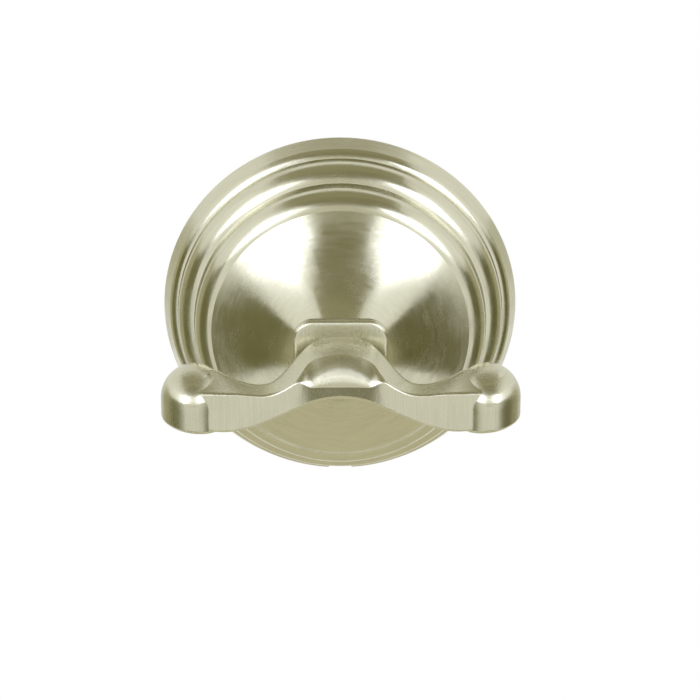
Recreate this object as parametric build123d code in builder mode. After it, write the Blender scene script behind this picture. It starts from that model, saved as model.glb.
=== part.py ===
from build123d import *
from math import cos, pi, radians, sin
import os

# Double robe hook for a wall: a stepped round flange carries a cast cross arm with two domed knobs.
# Millimetres, +Z up. The origin is the centre of the flange's back, the wall is the plane Y = 0,
# and the hook stands out from the wall towards -Y. A depth is a distance from the wall.

# Flange: three stepped rings, then a hollow trumpet that narrows to the neck
flange_radius = 35.0
rim_inset = 2.85
rim_depth = 4.6
rim_wall = 3.3
rim_draft = 21.5
middle_inset = 3.42
middle_depth = 5.04
middle_wall = 1.5
inner_inset = 3.63
inner_depth = 5.92
inner_wall = 2.3
ring_draft = 5.0
trumpet_flare = 66.0
trumpet_pull = 9.0
neck_flare = 16.0
neck_pull = 6.0
neck_radius = 7.0
neck_depth = 31.6
neck_block = 8.0
shell = 2.2
ring_lean = 32.0
web_margin = 3.3

# Hook collar, the square spigot behind it and the tapped hole for the hook screw
collar_width = 18.2
collar_height = 16.2
collar_lift = 1.0
collar_corner = 4.0
collar_thickness = 1.4
collar_round = 0.9
spigot_side = 7.0
spigot_length = 3.0
spigot_clearance = 0.1

# Stem and cross arm
stem_half_width = 5.4
stem_flat_half_width = 4.6
stem_top = 5.7
stem_rake = 0.3
arm_front_depth = 45.0
arm_thickness = 8.8
dip_share = 0.53
dip_top = -1.1
dip_length = 1.1
crest_rise = 0.3
ridge_rise = 0.4
ridge_turn = 3.9
ridge_bend = 3.6
ridge_top_gap = 1.5
nose_fade = 3.4
nose_back = 4.0
nose_low = 0.2
nose_bottom = -2.05
nose_undercut = 0.8
nose_crease = 0.2
nose_fullness = 0.6
nose_lean = 0.45
bottom_gap = 5.1
arm_edge = 0.5
rear_round_stem = 2.4
rear_round_dip = 4.5
rear_round_drop = 3.0
rear_round_under = 2.0
corner_roundness = 0.55

# Domed knobs at the ends of the arm
knob_reach = 27.65
knob_set_back = 6.45
knob_radius = 6.15
knob_stretch = 1.22
knob_dome_height = -3.91
knob_foot_height = -8.65
knob_foot_slope = 0.147
knob_foot_round = 0.8
knob_foot_step = 0.7
knob_blend = 0.8

# Machine screw and spring washer that pull the hook onto the flange from behind
screw_radius = 2.5
screw_length = 14.0
screw_head_radius = 4.5
screw_head_height = 3.4
screw_recess_depth = 2.0
screw_recess_width = 1.2
screw_recess_span = 5.0
screw_clearance = 0.25
thread_clearance = 0.1
washer_radius = 4.4
washer_thickness = 1.2
washer_split = 0.8

# Wall bracket: a bent plate with two slots, an upper tab to hang the flange on and a lower tab
bracket_half_width = 10.0
bracket_gauge = 2.0
bracket_top_gap = 10.0
bracket_bottom_gap = 11.0
bracket_bend = 0.8
tab_stand_off = 3.4
tab_height = 7.0
lower_tab_depth = 7.4
slot_spacing = 24.0
slot_length = 9.0
slot_radius = 2.3

# Ledge and lug inside the flange, and the grub screw that locks it on the bracket
ledge_half_width = 12.0
ledge_clearance = 0.3
ledge_depth = 9.0
lug_half_width = 6.0
lug_depth = 12.0
lug_height = 4.5
notch_radius = 2.7
notch_depth = 5.2
grub_radius = 1.5
grub_length = 7.0
grub_socket_flats = 1.5
grub_socket_depth = 2.0

# Rings and trumpet as radius and depth, from the wall outwards
middle_radius = flange_radius - rim_inset
inner_radius = middle_radius - middle_inset
crease_radius = inner_radius - inner_inset
middle_start = rim_depth
inner_start = middle_start + middle_depth
crease_depth = inner_start + inner_depth
web_depth = neck_depth - neck_block
section_plane = Plane(origin=(0, 0, 0), x_dir=(1, 0, 0), z_dir=(0, 0, -1))


def way_in(lean):
    """Direction in the section that leans inwards from the axis by an angle in degrees."""
    return Vector(-sin(radians(lean)), cos(radians(lean)))


def ring(radius, start, wall, draft, corner):
    """Drafted side wall of one ring and the round that rolls over it to the next corner."""
    way = way_in(draft)
    foot = Vector(radius, start)
    wall_top = foot + way * (wall / way.Y)
    Line(foot, wall_top)
    TangentArc(wall_top, corner, tangent=way)


def inside(radius, depth):
    """Point of the hollow behind a corner of the rings, one shell thickness below it."""
    return (radius - shell * cos(radians(ring_lean)), depth - shell * sin(radians(ring_lean)))


with BuildPart() as flange_envelope:
    with BuildSketch(section_plane):
        with BuildLine():
            ring(flange_radius, 0, rim_wall, rim_draft, (middle_radius, middle_start))
            ring(middle_radius, middle_start, middle_wall, ring_draft, (inner_radius, inner_start))
            ring(inner_radius, inner_start, inner_wall, ring_draft, (crease_radius, crease_depth))
            crease = Vector(crease_radius, crease_depth)
            neck = Vector(neck_radius, neck_depth)
            trumpet_way = way_in(trumpet_flare)
            Bezier(crease, crease + trumpet_way * trumpet_pull, neck - way_in(neck_flare) * neck_pull, neck)
            Polyline(neck, (0, neck_depth), (0, 0), (flange_radius, 0))
        make_face()
    revolve(axis=Axis.Y)

with BuildPart() as flange_hollow:
    with BuildSketch(section_plane):
        with BuildLine():
            rim_inside = (flange_radius - shell / cos(radians(ring_lean)), 0)
            crease_inside = inside(crease_radius, crease_depth)
            web_edge = (neck_radius + web_margin, web_depth)
            Polyline(
                (0, 0),
                rim_inside,
                inside(middle_radius, middle_start),
                inside(inner_radius, inner_start),
                crease_inside,
            )
            TangentArc(crease_inside, web_edge, tangent=trumpet_way)
            Polyline(web_edge, (0, web_depth), (0, 0))
        make_face()
    revolve(axis=Axis.Y)

# The upper ledge hooks over and behind the bracket's upper tab
bracket_top = flange_radius - bracket_top_gap
bracket_bottom = bracket_bottom_gap - flange_radius
tab_bottom = bracket_top - tab_height
lip_bottom = tab_bottom + bracket_gauge + ledge_clearance
with BuildPart() as upper_ledge:
    with BuildSketch(Plane.XY.offset(bracket_top)):
        with Locations((0, -ledge_depth / 2 - ledge_clearance)):
            Rectangle(2 * ledge_half_width, ledge_depth)
    extrude(amount=flange_radius - bracket_top)
    with BuildSketch(Plane.XY.offset(lip_bottom)):
        with Locations((0, -tab_stand_off / 2)):
            Rectangle(2 * ledge_half_width, tab_stand_off - 2 * ledge_clearance)
    extrude(amount=bracket_top - lip_bottom)
    add(flange_envelope.part, mode=Mode.INTERSECT)

# The lower lug carries the upright grub screw, in line with the round end of the notch
lug_bottom = bracket_bottom - grub_length + grub_socket_depth / 2
grub_place = (0, notch_radius - notch_depth)
with BuildPart() as lower_lug:
    with BuildSketch(Plane.XY.offset(lug_bottom)):
        with Locations((0, -lug_depth / 2 - ledge_clearance)):
            Rectangle(2 * lug_half_width, lug_depth)
    extrude(amount=lug_height)
    add(flange_envelope.part, mode=Mode.INTERSECT)

with BuildPart() as flange:
    add(flange_envelope.part)
    add(flange_hollow.part, mode=Mode.SUBTRACT)
    # Notch in the back edge for the key, open to the wall
    with BuildSketch(Plane.XY.offset(-flange_radius)):
        with Locations(grub_place):
            Circle(notch_radius)
        with Locations((0, (notch_radius - notch_depth) / 2)):
            Rectangle(2 * notch_radius, notch_depth - notch_radius)
    extrude(amount=flange_radius + lug_bottom, mode=Mode.SUBTRACT)
    add(upper_ledge.part)
    add(lower_lug.part)
    # Tapped hole for the grub screw, and the socket and screw hole in the neck
    with BuildSketch(Plane.XY.offset(lug_bottom)):
        with Locations(grub_place):
            Circle(grub_radius + thread_clearance)
    extrude(amount=lug_height, mode=Mode.SUBTRACT)
    with BuildSketch(Plane.XZ.offset(neck_depth)):
        Rectangle(spigot_side + 2 * spigot_clearance, spigot_side + 2 * spigot_clearance)
    extrude(amount=-spigot_length - spigot_clearance, mode=Mode.SUBTRACT)
    with BuildSketch(Plane.XZ.offset(web_depth)):
        Circle(screw_radius + screw_clearance)
    extrude(amount=neck_block, mode=Mode.SUBTRACT)


def ease(start, end, share):
    """Value on a half cosine wave that runs from start to end."""
    share = min(max(share, 0), 1)
    return start + (end - start) * (1 - cos(pi * share)) / 2


def foot_height(reach):
    """Height of the knob's sloping underside."""
    return knob_foot_height - knob_foot_slope * (knob_reach - reach)


collar_depth = neck_depth + collar_thickness
arm_rear_depth = arm_front_depth - arm_thickness
dip_reach = dip_share * knob_reach
knob_depth = arm_front_depth - knob_set_back
bottom_reach = knob_reach - bottom_gap
ridge_top_reach = knob_reach - ridge_top_gap


def nose_share(reach):
    """1 across the rolled nose in front of the stem, fading to 0 on the arm beside it."""
    return ease(1, 0, (abs(reach) - stem_half_width) / nose_fade)


def arm_corners(reach, nose):
    """Corners of the arm's upright section: rear top, front top, front bottom and rear bottom."""
    from_stem = (reach - stem_half_width) / (dip_reach - stem_half_width)
    past_dip = (reach - dip_reach - dip_length) / (ridge_top_reach - dip_reach - dip_length)
    past_turn = (reach - knob_reach + ridge_turn) / ridge_turn
    towards_collar = (arm_rear_depth - collar_depth) * max(1 - from_stem, 0) ** 2
    rear_depth = arm_rear_depth - towards_collar
    from_flat = (reach - stem_flat_half_width) / (dip_reach - stem_flat_half_width)
    rear_top = ease(stem_top, dip_top, from_flat)
    rear_top += ease(0, knob_dome_height + knob_radius + ridge_rise - dip_top, past_dip)
    front_top = ease(stem_top, dip_top, reach / dip_reach) + ease(0, crest_rise, 3 * past_dip)
    arm_foot = foot_height(max(reach, bottom_reach)) + knob_foot_step
    front_bottom = ease(nose_bottom, arm_foot, reach / bottom_reach)
    rake = ease(stem_rake, 0, reach / dip_reach)
    rear_bottom = front_bottom - rake * (arm_front_depth - rear_depth)
    rear_depth += ease(0, ridge_bend, past_turn)
    return [
        Vector(-rear_depth, rear_top),
        Vector(-arm_front_depth, front_top),
        Vector(nose_undercut * nose - arm_front_depth, front_bottom),
        Vector(-rear_depth, rear_bottom),
    ]


def arm_setbacks(reach, front_top, nose):
    """Length of side that each corner's round takes, before and after the corner."""
    from_stem = (reach - stem_half_width) / (dip_reach - stem_half_width)
    past_dip = (reach - dip_reach) / (knob_reach - dip_reach)
    rear_round = ease(rear_round_stem, rear_round_dip, from_stem)
    rear_round = ease(rear_round, rear_round_drop, past_dip)
    nose_roll_back = arm_edge + (nose_back - arm_edge) * nose
    nose_roll_down = arm_edge + (front_top - nose_low - arm_edge) * nose
    return [
        (rear_round_drop, rear_round),
        (nose_roll_back, nose_roll_down),
        (arm_edge, arm_edge),
        (rear_round_under, rear_round_under),
    ]


def arm_section(reach, nose):
    """Closed outline of the arm at one reach: straight sides joined by smooth rounds."""
    corners = arm_corners(abs(reach), nose)
    setbacks = arm_setbacks(abs(reach), corners[1].Y, nose)
    start_pulls = [corner_roundness, nose_crease, corner_roundness, corner_roundness]
    end_pulls = [corner_roundness, nose_fullness, corner_roundness, corner_roundness]
    starts = []
    ends = []
    for index, corner in enumerate(corners):
        before = (corners[index - 1] - corner).normalized()
        after = (corners[(index + 1) % 4] - corner).normalized()
        starts.append(corner + before * setbacks[index][0])
        ends.append(corner + after * setbacks[index][1])
    # The nose's roll still leans forward where it ends, which leaves a crease above the undercut
    roll_middle = (starts[1] + ends[1]) * 0.5
    aims = list(corners)
    aims[1] = corners[1] + (roll_middle - corners[1]) * (nose_lean * nose)
    for index, corner in enumerate(corners):
        start = starts[index]
        end = ends[index]
        start_pull = (corner - start) * start_pulls[index]
        end_pull = (aims[index] - end) * end_pulls[index]
        Bezier(start, start + start_pull, end + end_pull, end)
        Line(end, starts[(index + 1) % 4])


nose_end = stem_half_width + nose_fade
nose_to_dip = dip_reach - nose_end
dip_to_turn = knob_reach - ridge_turn - dip_reach
half_stations = [stem_half_width * share for share in (0.25, 0.5, 0.75)]
half_stations += [stem_half_width + nose_fade * share for share in (0, 0.2, 0.4, 0.6, 0.8, 1)]
half_stations += [nose_end + nose_to_dip * share for share in (0.35, 0.7, 1)]
half_stations += [dip_reach + dip_to_turn * share for share in (0.35, 0.7, 1)]
half_stations += [knob_reach - ridge_turn * share for share in (0.45, 0)]
stations = [-reach for reach in reversed(half_stations)] + [0] + half_stations

# The middle with its rolled nose, and the plain outer arm that carries on from the same section
with BuildPart() as nosed_middle:
    for station in stations:
        with BuildSketch(Plane.YZ.offset(station)):
            with BuildLine():
                arm_section(station, nose_share(station))
            make_face()
    loft()
    split(bisect_by=Plane.XZ.offset(collar_depth - collar_thickness / 2), keep=Keep.TOP)
    split(bisect_by=Plane.YZ, keep=Keep.TOP)
    split(bisect_by=Plane.YZ.offset(nose_end), keep=Keep.BOTTOM)

with BuildPart() as outer_arm:
    for station in stations:
        with BuildSketch(Plane.YZ.offset(station)):
            with BuildLine():
                arm_section(station, 0)
            make_face()
    loft()
    split(bisect_by=Plane.YZ.offset(nose_end), keep=Keep.TOP)

# The knob is turned round an upright axis and then drawn out, which makes it deeper than wide
knob_axis = Axis((knob_reach, -knob_depth / knob_stretch, 0), (0, 0, 1))
with BuildPart() as knob:
    with BuildSketch(Plane(origin=knob_axis.position, x_dir=(1, 0, 0), z_dir=(0, -1, 0))):
        with BuildLine():
            deep = foot_height(0)
            dome_top = knob_dome_height + knob_radius
            Polyline((0, dome_top), (0, deep), (knob_radius, deep), (knob_radius, knob_dome_height))
            RadiusArc((knob_radius, knob_dome_height), (0, dome_top), -knob_radius)
        make_face()
    revolve(axis=knob_axis)
    foot = Plane(origin=(knob_reach, 0, knob_foot_height), z_dir=(-knob_foot_slope, 0, 1))
    split(bisect_by=foot, keep=Keep.TOP)
    fillet(knob.faces().sort_by(Axis.Z)[0].edges(), radius=knob_foot_round)
    scale(by=(1, knob_stretch, 1))

with BuildPart() as knobbed_arm:
    add(outer_arm.part)
    add(knob.part)
    fillet(knobbed_arm.edges(Select.NEW), radius=knob_blend)
    add(nosed_middle.part)
    mirror(about=Plane.YZ)

with BuildPart() as hook:
    with BuildSketch(Plane.XZ.offset(neck_depth)):
        with Locations((0, collar_lift)):
            RectangleRounded(collar_width, collar_height, collar_corner)
    extrude(amount=collar_thickness)
    fillet(hook.faces().sort_by(Axis.Y)[0].edges(), radius=collar_round)
    add(knobbed_arm.part)
    with BuildSketch(Plane.XZ.offset(neck_depth)):
        Rectangle(spigot_side, spigot_side)
    extrude(amount=-spigot_length)
    with BuildSketch(Plane.XZ.offset(neck_depth - spigot_length)):
        Circle(screw_radius + thread_clearance)
    tapped_length = screw_length - washer_thickness - neck_block + spigot_length + screw_clearance
    extrude(amount=tapped_length, mode=Mode.SUBTRACT)

with BuildPart() as lock_washer:
    with BuildSketch(Plane.XZ.offset(web_depth)):
        Circle(washer_radius)
        Circle(screw_radius + screw_clearance, mode=Mode.SUBTRACT)
        with Locations((washer_radius, 0)):
            Rectangle(2 * washer_radius, washer_split, mode=Mode.SUBTRACT)
    extrude(amount=-washer_thickness)

head_depth = web_depth - washer_thickness
with BuildPart() as hook_screw:
    with BuildSketch(Plane.XZ.offset(head_depth)):
        Circle(screw_head_radius)
    extrude(amount=-screw_head_height)
    fillet(hook_screw.edges().sort_by(Axis.Y)[-1], radius=screw_head_height / 2)
    with BuildSketch(Plane.XZ.offset(head_depth)):
        Circle(screw_radius)
    extrude(amount=screw_length)
    chamfer(hook_screw.edges().sort_by(Axis.Y)[0], length=screw_radius / 5)
    with BuildSketch(Plane.XZ.offset(head_depth - screw_head_height)):
        Rectangle(screw_recess_span, screw_recess_width)
        Rectangle(screw_recess_width, screw_recess_span)
    extrude(amount=screw_recess_depth, mode=Mode.SUBTRACT)

with BuildPart() as wall_bracket:
    with BuildSketch(Plane.YZ.offset(-bracket_half_width)):
        with BuildLine():
            tab_front = tab_stand_off + bracket_gauge
            Polyline(
                (0, bracket_bottom),
                (-lower_tab_depth, bracket_bottom),
                (-lower_tab_depth, bracket_bottom + bracket_gauge),
                (-bracket_gauge, bracket_bottom + bracket_gauge),
                (-bracket_gauge, tab_bottom),
                (-tab_front, tab_bottom),
                (-tab_front, bracket_top),
                (-tab_stand_off, bracket_top),
                (-tab_stand_off, tab_bottom + bracket_gauge),
                (0, tab_bottom + bracket_gauge),
                (0, bracket_bottom),
            )
        make_face()
    extrude(amount=2 * bracket_half_width)
    fillet(wall_bracket.edges().filter_by(Axis.X), radius=bracket_bend / 2)
    with BuildSketch(Plane.XZ):
        with GridLocations(0, slot_spacing, 1, 2):
            SlotOverall(slot_length, 2 * slot_radius, rotation=90)
    extrude(amount=bracket_gauge, mode=Mode.SUBTRACT)

with BuildPart() as set_screw:
    with BuildSketch(Plane.XY.offset(bracket_bottom)):
        with Locations(grub_place):
            Circle(grub_radius)
    extrude(amount=-grub_length)
    chamfer(set_screw.edges().filter_by(GeomType.CIRCLE), length=grub_radius / 5)
    with BuildSketch(Plane.XY.offset(bracket_bottom - grub_length)):
        with Locations(grub_place):
            RegularPolygon(grub_socket_flats / 2, 6, major_radius=False)
    extrude(amount=grub_socket_depth, mode=Mode.SUBTRACT)

os.makedirs("parts", exist_ok=True)
flange.part.label = "flange"
export_step(flange.part, "parts/flange.step")
hook.part.label = "hook"
export_step(hook.part, "parts/hook.step")
lock_washer.part.label = "lock_washer"
export_step(lock_washer.part, "parts/lock_washer.step")
hook_screw.part.label = "hook_screw"
export_step(hook_screw.part, "parts/hook_screw.step")
wall_bracket.part.label = "wall_bracket"
export_step(wall_bracket.part, "parts/wall_bracket.step")
set_screw.part.label = "set_screw"
export_step(set_screw.part, "parts/set_screw.step")
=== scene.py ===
from math import cos, pi, radians, sin

import bpy
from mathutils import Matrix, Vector

# Double robe hook in warm satin nickel. Metres, +Z up. The wall is the plane Y = 0 and the hook stands
# out towards -Y. Azimuth 0 is the front, and a positive azimuth is to the right of it.

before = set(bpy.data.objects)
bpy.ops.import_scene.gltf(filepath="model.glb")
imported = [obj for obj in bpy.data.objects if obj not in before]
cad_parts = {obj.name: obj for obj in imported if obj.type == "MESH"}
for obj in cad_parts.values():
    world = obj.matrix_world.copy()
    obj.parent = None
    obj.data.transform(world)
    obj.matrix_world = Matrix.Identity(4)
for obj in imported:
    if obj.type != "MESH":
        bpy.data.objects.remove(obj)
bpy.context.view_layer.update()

# Camera: a long lens above the hook and a touch to its left
camera_distance = 0.600
camera_azimuth = radians(-0.4)
camera_elevation = radians(21.15)
camera_target = Vector((0.00197, -0.00321, -0.00827))
camera_lens = 154.73

# Metal colours: in the valleys of the brush lines, on their crests, and where corners are rubbed bright
nickel_valley = (0.585, 0.572, 0.425, 1.0)
nickel_crest = (0.630, 0.616, 0.460, 1.0)
nickel_polish = (0.740, 0.728, 0.590, 1.0)
zinc_valley = (0.500, 0.510, 0.530, 1.0)
zinc_crest = (0.680, 0.690, 0.710, 1.0)
black_valley = (0.030, 0.030, 0.033, 1.0)
black_crest = (0.110, 0.108, 0.105, 1.0)

# Brushing: share of the noise's range that the lines and the haze use, and how far a face has to look up
# (height of its normal) before the hand brushing turns from upright to along the arm
line_low, line_high = 0.3, 0.7
line_detail = 3.0
haze_low, haze_high = 0.35, 0.65
haze_detail = 4.0
up_start, up_end = 0.80, 0.96

# Rubbed corners: how alike the true and the rounded normal are where the rub starts and where it is full
rub_start, rub_full = 0.995, 0.9
rub_samples = 4

# Studio: boxes and cards stand on spheres round the hook, outside every view
studio_radius = 1.5
far_radius = 1.6
under_radius = 0.9
cool_white = (0.76, 0.785, 1.0)
floor_white = (0.90, 0.90, 0.90, 1.0)
room_white = (1.0, 1.0, 1.0, 1.0)
floor_height = -1.0
floor_size = 40.0

# Soft boxes: azimuth, elevation, width and height in degrees as the hook sees them, then brightness
soft_boxes = {
    "left_soft_box": (-34, 24, 30, 29, 3.2),
    "right_soft_box": (35, 24, 28, 29, 3.2),
    "left_wide_box": (-72, 31, 60, 32, 0.12),
    "right_wide_box": (72, 31, 60, 32, 0.14),
}

# Shade cards: the same angles, then colour and distance. The metal mirrors them as its dark bands.
shade_cards = {
    "camera_shade": (1, 11, 18, 30, (0.64, 0.62, 0.50, 1.0), studio_radius),
    "front_shade": (4, 39, 28, 20, (0.26, 0.245, 0.138, 1.0), studio_radius),
    "front_top_shade": (13, 60, 60, 36, (0.28, 0.263, 0.150, 1.0), studio_radius),
    "top_shade": (0, 89, 74, 74, (0.36, 0.34, 0.21, 1.0), studio_radius),
    "left_shade": (-70, -24, 52, 74, (0.185, 0.175, 0.080, 1.0), studio_radius),
    "right_shade": (73, -24, 50, 74, (0.155, 0.145, 0.064, 1.0), studio_radius),
    "left_far_shade": (-104, -22, 64, 72, (0.48, 0.46, 0.31, 1.0), far_radius),
    "right_far_shade": (104, -22, 60, 72, (0.46, 0.44, 0.29, 1.0), far_radius),
    "low_front_shade": (0, -37, 48, 15, (0.17, 0.16, 0.075, 1.0), studio_radius),
    "under_shade": (0, -89, 90, 90, (0.60, 0.565, 0.42, 1.0), under_radius),
}

# Places of the Mix node's sockets by kind: factor, first and second input, then the output
mix_sockets = {"FLOAT": (0, 2, 3, 0), "VECTOR": (0, 4, 5, 1), "RGBA": (0, 6, 7, 2)}


def toward(azimuth, elevation):
    """Direction from the hook to a place in the studio, from angles in radians."""
    return Vector((sin(azimuth) * cos(elevation), -cos(azimuth) * cos(elevation), sin(elevation)))


def add_camera():
    place = camera_target + camera_distance * toward(camera_azimuth, camera_elevation)
    bpy.ops.object.camera_add(location=place)
    camera = bpy.context.object
    camera.name = "photo_camera"
    camera.rotation_euler = (camera_target - place).to_track_quat("-Z", "Y").to_euler()
    camera.data.lens = camera_lens
    bpy.context.scene.camera = camera


def new_group(name, inputs, outputs):
    """Empty shader node group with float inputs, given with their usual values, and float outputs."""
    group = bpy.data.node_groups.new(name, "ShaderNodeTree")
    for socket_name, value in inputs.items():
        socket = group.interface.new_socket(socket_name, in_out="INPUT", socket_type="NodeSocketFloat")
        socket.default_value = value
    for socket_name in outputs:
        group.interface.new_socket(socket_name, in_out="OUTPUT", socket_type="NodeSocketFloat")
    entry = group.nodes.new("NodeGroupInput")
    exit_node = group.nodes.new("NodeGroupOutput")
    return group, entry, exit_node


def feed(tree, socket, value):
    """Links a socket's value into an input, or sets the input to a plain value."""
    if isinstance(value, bpy.types.NodeSocket):
        tree.links.new(value, socket)
    elif value is not None:
        socket.default_value = value


def add_math(tree, operation, first, second=None):
    """Math node on sockets or plain numbers; returns its output socket."""
    node = tree.nodes.new("ShaderNodeMath")
    node.operation = operation
    for socket, value in zip(node.inputs, (first, second)):
        feed(tree, socket, value)
    return node.outputs[0]


def add_vector_math(tree, operation, first, second=None):
    """Vector Math node on sockets or plain vectors; returns the node."""
    node = tree.nodes.new("ShaderNodeVectorMath")
    node.operation = operation
    for socket, value in zip(node.inputs, (first, second)):
        feed(tree, socket, value)
    return node


def add_mix(tree, kind, factor, first, second):
    """Mix node of one kind on sockets or plain values; returns its output socket."""
    factor_place, first_place, second_place, output_place = mix_sockets[kind]
    node = tree.nodes.new("ShaderNodeMix")
    node.data_type = kind
    feed(tree, node.inputs[factor_place], factor)
    feed(tree, node.inputs[first_place], first)
    feed(tree, node.inputs[second_place], second)
    return node.outputs[output_place]


def add_noise(tree, vector, detail, dimensions="3D", depth=None):
    """Noise texture at scale 1 on a vector that already has its scale; returns its value."""
    noise = tree.nodes.new("ShaderNodeTexNoise")
    noise.noise_dimensions = dimensions
    noise.inputs["Scale"].default_value = 1.0
    noise.inputs["Detail"].default_value = detail
    tree.links.new(vector, noise.inputs["Vector"])
    if depth is not None:
        tree.links.new(depth, noise.inputs["W"])
    return noise.outputs[0]


def add_range(tree, value, low, high, to_low=0.0, to_high=1.0):
    """Map Range node from low..high to to_low..to_high; returns its output socket."""
    node = tree.nodes.new("ShaderNodeMapRange")
    node.inputs["From Min"].default_value = low
    node.inputs["From Max"].default_value = high
    node.inputs["To Min"].default_value = to_low
    node.inputs["To Max"].default_value = to_high
    tree.links.new(value, node.inputs["Value"])
    return node.outputs[0]


def add_looks_up(tree, normal):
    """Share of 0 to 1 by which a face with this normal looks up."""
    facing = tree.nodes.new("ShaderNodeSeparateXYZ")
    tree.links.new(normal, facing.inputs[0])
    return add_range(tree, facing.outputs["Z"], up_start, up_end)


def make_turned_lines():
    """Fine rings left by brushing on a lathe, round the Y axis: long along the ring, thin across it."""
    inputs = {"Line Width": 0.0004, "Ring Breaks": 6.0}
    group, entry, exit_node = new_group("turned_lines", inputs, ("Tone",))
    place = group.nodes.new("ShaderNodeTexCoord")
    parts = group.nodes.new("ShaderNodeSeparateXYZ")
    group.links.new(place.outputs["Object"], parts.inputs[0])
    flat = group.nodes.new("ShaderNodeCombineXYZ")
    group.links.new(parts.outputs["X"], flat.inputs["X"])
    group.links.new(parts.outputs["Z"], flat.inputs["Z"])
    radius = add_vector_math(group, "LENGTH", flat.outputs[0]).outputs["Value"]
    bearing = add_vector_math(group, "NORMALIZE", flat.outputs[0]).outputs["Vector"]
    around = add_vector_math(group, "SCALE", bearing)
    group.links.new(entry.outputs["Ring Breaks"], around.inputs["Scale"])
    across = group.nodes.new("ShaderNodeCombineXYZ")
    group.links.new(add_math(group, "DIVIDE", radius, entry.outputs["Line Width"]), across.inputs["Y"])
    lines = add_vector_math(group, "ADD", around.outputs["Vector"], across.outputs[0])
    depth = add_math(group, "DIVIDE", parts.outputs["Y"], entry.outputs["Line Width"])
    noise = add_noise(group, lines.outputs["Vector"], line_detail, "4D", depth)
    group.links.new(add_range(group, noise, line_low, line_high), exit_node.inputs["Tone"])
    return group


def make_straight_lines():
    """Hand brushing: along the arm on faces that look up, upright on all others."""
    inputs = {"Line Width": 0.0004, "Line Length": 0.012}
    group, entry, exit_node = new_group("straight_lines", inputs, ("Tone",))
    place = group.nodes.new("ShaderNodeTexCoord")
    surface = group.nodes.new("ShaderNodeNewGeometry")
    thin = add_math(group, "DIVIDE", 1.0, entry.outputs["Line Width"])
    long = add_math(group, "DIVIDE", 1.0, entry.outputs["Line Length"])
    tones = {}
    for long_axis in ("X", "Z"):
        scale = group.nodes.new("ShaderNodeCombineXYZ")
        for axis in ("X", "Y", "Z"):
            group.links.new(long if axis == long_axis else thin, scale.inputs[axis])
        lines = add_vector_math(group, "MULTIPLY", place.outputs["Object"], scale.outputs[0])
        tones[long_axis] = add_noise(group, lines.outputs["Vector"], line_detail)
    looks_up = add_looks_up(group, surface.outputs["Normal"])
    tone = add_mix(group, "FLOAT", looks_up, tones["Z"], tones["X"])
    group.links.new(add_range(group, tone, line_low, line_high), exit_node.inputs["Tone"])
    return group


def make_edge_rub():
    """Corners rubbed brighter by polishing and handling: where a rounded normal leaves the true one."""
    group, entry, exit_node = new_group("edge_rub", {"Reach": 0.0005}, ("Mask",))
    surface = group.nodes.new("ShaderNodeNewGeometry")
    rounded = group.nodes.new("ShaderNodeBevel")
    rounded.samples = rub_samples
    group.links.new(entry.outputs["Reach"], rounded.inputs["Radius"])
    alike = add_vector_math(group, "DOT_PRODUCT", surface.outputs["Normal"], rounded.outputs["Normal"])
    rub = add_range(group, alike.outputs["Value"], rub_start, rub_full)
    group.links.new(rub, exit_node.inputs["Mask"])
    return group


def make_hand_haze():
    """Cloudy patches a few millimetres across, from plating and from hands."""
    group, entry, exit_node = new_group("hand_haze", {"Patch Size": 0.008}, ("Tone",))
    place = group.nodes.new("ShaderNodeTexCoord")
    scale = add_math(group, "DIVIDE", 1.0, entry.outputs["Patch Size"])
    patches = add_vector_math(group, "SCALE", place.outputs["Object"])
    group.links.new(scale, patches.inputs["Scale"])
    noise = add_noise(group, patches.outputs["Vector"], haze_detail)
    group.links.new(add_range(group, noise, haze_low, haze_high), exit_node.inputs["Tone"])
    return group


def place_group(tree, group, values):
    """Node group in a material, with its own values."""
    node = tree.nodes.new("ShaderNodeGroup")
    node.node_tree = group
    for name, value in values.items():
        node.inputs[name].default_value = value
    return node


def metal(name, lines, line_values, valley, crest, polish, roughness, roughness_swing, groove):
    """Brushed metal: line tone drives colour, roughness and grooves, with haze and rubbed corners over it."""
    material = bpy.data.materials.new(name)
    material.use_nodes = True
    tree = material.node_tree
    shader = tree.nodes["Principled BSDF"]
    shader.inputs["Metallic"].default_value = 1.0
    tone = place_group(tree, lines, line_values).outputs["Tone"]
    haze = place_group(tree, hand_haze, {}).outputs["Tone"]
    rub = place_group(tree, edge_rub, {}).outputs["Mask"]

    colour = add_mix(tree, "RGBA", tone, valley, crest)
    tree.links.new(add_mix(tree, "RGBA", rub, colour, polish), shader.inputs["Base Color"])

    line_swing = add_range(tree, tone, 0.0, 1.0, roughness + roughness_swing, roughness)
    haze_swing = add_range(tree, haze, 0.0, 1.0, -roughness_swing / 2, roughness_swing / 2)
    tree.links.new(add_math(tree, "ADD", line_swing, haze_swing), shader.inputs["Roughness"])

    bump = tree.nodes.new("ShaderNodeBump")
    bump.inputs["Strength"].default_value = 1.0
    bump.inputs["Distance"].default_value = groove
    tree.links.new(tone, bump.inputs["Height"])
    tree.links.new(bump.outputs["Normal"], shader.inputs["Normal"])
    return material


def turn_highlights(material, amount):
    """Stretches highlights across the rings, as lathe brushing does."""
    tree = material.node_tree
    shader = tree.nodes["Principled BSDF"]
    shader.inputs["Anisotropic"].default_value = amount
    shader.inputs["Anisotropic Rotation"].default_value = 0.25
    tangent = tree.nodes.new("ShaderNodeTangent")
    tangent.direction_type = "RADIAL"
    tangent.axis = "Y"
    tree.links.new(tangent.outputs[0], shader.inputs["Tangent"])


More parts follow.
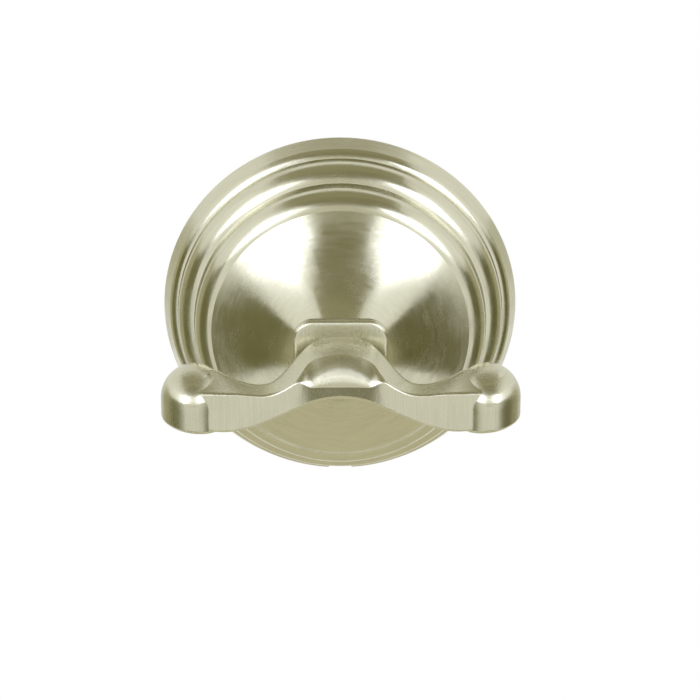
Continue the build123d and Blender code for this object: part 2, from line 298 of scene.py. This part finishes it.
def brush_highlights(material, amount):
    """Stretches highlights across the hand brushing, which runs along X on top and upright elsewhere."""
    tree = material.node_tree
    shader = tree.nodes["Principled BSDF"]
    shader.inputs["Anisotropic"].default_value = amount
    surface = tree.nodes.new("ShaderNodeNewGeometry")
    looks_up = add_looks_up(tree, surface.outputs["Normal"])
    sideways = add_vector_math(tree, "CROSS_PRODUCT", surface.outputs["Normal"], (0.0, 0.0, 1.0))
    across = add_mix(tree, "VECTOR", looks_up, sideways.outputs["Vector"], (0.0, 1.0, 0.0))
    tree.links.new(across, shader.inputs["Tangent"])


def finish_node(name, material):
    """Gives a CAD node its finish; the node keeps its shape and its smooth normals."""
    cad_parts[name].material_slots[0].material = material


def matt(name, colour):
    """Plain matt paint."""
    material = bpy.data.materials.new(name)
    material.use_nodes = True
    shader = material.node_tree.nodes["Principled BSDF"]
    shader.inputs["Base Color"].default_value = colour
    shader.inputs["Roughness"].default_value = 1.0
    shader.inputs["Specular IOR Level"].default_value = 0.0
    return material


def white_ground():
    """Pale matt floor that the camera and mirror-like metal see as plain white."""
    material = matt("pale_floor", floor_white)
    tree = material.node_tree
    plain = tree.nodes.new("ShaderNodeEmission")
    plain.inputs["Strength"].default_value = 1.0
    seen = tree.nodes.new("ShaderNodeLightPath")
    mirrored = add_math(tree, "MAXIMUM", seen.outputs["Is Glossy Ray"], seen.outputs["Is Transmission Ray"])
    choice = tree.nodes.new("ShaderNodeMixShader")
    tree.links.new(add_math(tree, "MAXIMUM", seen.outputs["Is Camera Ray"], mirrored), choice.inputs[0])
    tree.links.new(tree.nodes["Principled BSDF"].outputs[0], choice.inputs[1])
    tree.links.new(plain.outputs[0], choice.inputs[2])
    tree.links.new(choice.outputs[0], tree.nodes["Material Output"].inputs["Surface"])
    return material


def add_floor():
    bpy.ops.mesh.primitive_plane_add(size=floor_size, location=(0, 0, floor_height))
    floor = bpy.context.object
    floor.name = "pale_floor"
    floor.data.materials.append(white_ground())


def add_card(name, azimuth, elevation, width, height, colour, radius):
    """Coloured card that faces the hook; angles and sizes in degrees as the hook sees them."""
    way = toward(radians(azimuth), radians(elevation))
    bpy.ops.mesh.primitive_plane_add(size=1.0, location=radius * way)
    card = bpy.context.object
    card.name = name
    card.rotation_euler = way.to_track_quat("Z", "Y").to_euler()
    card.scale = (radius * radians(width), radius * radians(height), 1.0)
    card.data.materials.append(matt(name, colour))
    card.visible_camera = False
    card.visible_diffuse = False
    card.visible_shadow = False


def add_soft_box(name, azimuth, elevation, width, height, brightness):
    """Soft box that faces the hook; brightness is its own, where 1 is the white of the room."""
    way = toward(radians(azimuth), radians(elevation))
    bpy.ops.object.light_add(type="AREA", location=studio_radius * way)
    box = bpy.context.object
    box.name = name
    box.rotation_euler = way.to_track_quat("Z", "Y").to_euler()
    box.data.shape = "RECTANGLE"
    box.data.size = studio_radius * radians(width)
    box.data.size_y = studio_radius * radians(height)
    box.data.energy = brightness * pi * box.data.size * box.data.size_y
    box.data.color = cool_white
    box.visible_camera = False


def add_room():
    """Even white room light."""
    world = bpy.data.worlds.new("white_room")
    world.use_nodes = True
    background = world.node_tree.nodes["Background"]
    background.inputs["Color"].default_value = room_white
    background.inputs["Strength"].default_value = 1.0
    bpy.context.scene.world = world


hand_haze = make_hand_haze()
edge_rub = make_edge_rub()
turned_lines = make_turned_lines()
straight_lines = make_straight_lines()

turned_nickel = metal(
    "turned_nickel", turned_lines, {"Line Width": 0.0007, "Ring Breaks": 5.0},
    nickel_valley, nickel_crest, nickel_polish,
    roughness=0.19, roughness_swing=0.09, groove=0.000004)
turn_highlights(turned_nickel, amount=0.5)
brushed_nickel = metal(
    "brushed_nickel", straight_lines, {"Line Width": 0.0003, "Line Length": 0.012},
    nickel_valley, nickel_crest, nickel_polish,
    roughness=0.25, roughness_swing=0.03, groove=0.0000002)
brush_highlights(brushed_nickel, amount=0.88)
zinc_plate = metal(
    "zinc_plate", straight_lines, {"Line Width": 0.0006, "Line Length": 0.020},
    zinc_valley, zinc_crest, zinc_crest,
    roughness=0.30, roughness_swing=0.12, groove=0.000003)
black_steel = metal(
    "black_steel", straight_lines, {"Line Width": 0.0003, "Line Length": 0.003},
    black_valley, black_crest, zinc_valley,
    roughness=0.40, roughness_swing=0.15, groove=0.000003)

finish_node("flange", turned_nickel)
finish_node("hook", brushed_nickel)
finish_node("hook_screw", zinc_plate)
finish_node("lock_washer", zinc_plate)
finish_node("wall_bracket", zinc_plate)
finish_node("set_screw", black_steel)

add_camera()
add_room()
add_floor()
for box_name, box_values in soft_boxes.items():
    add_soft_box(box_name, *box_values)
for card_name, card_values in shade_cards.items():
    add_card(card_name, *card_values)
bpy.context.scene.view_settings.view_transform = "Standard"
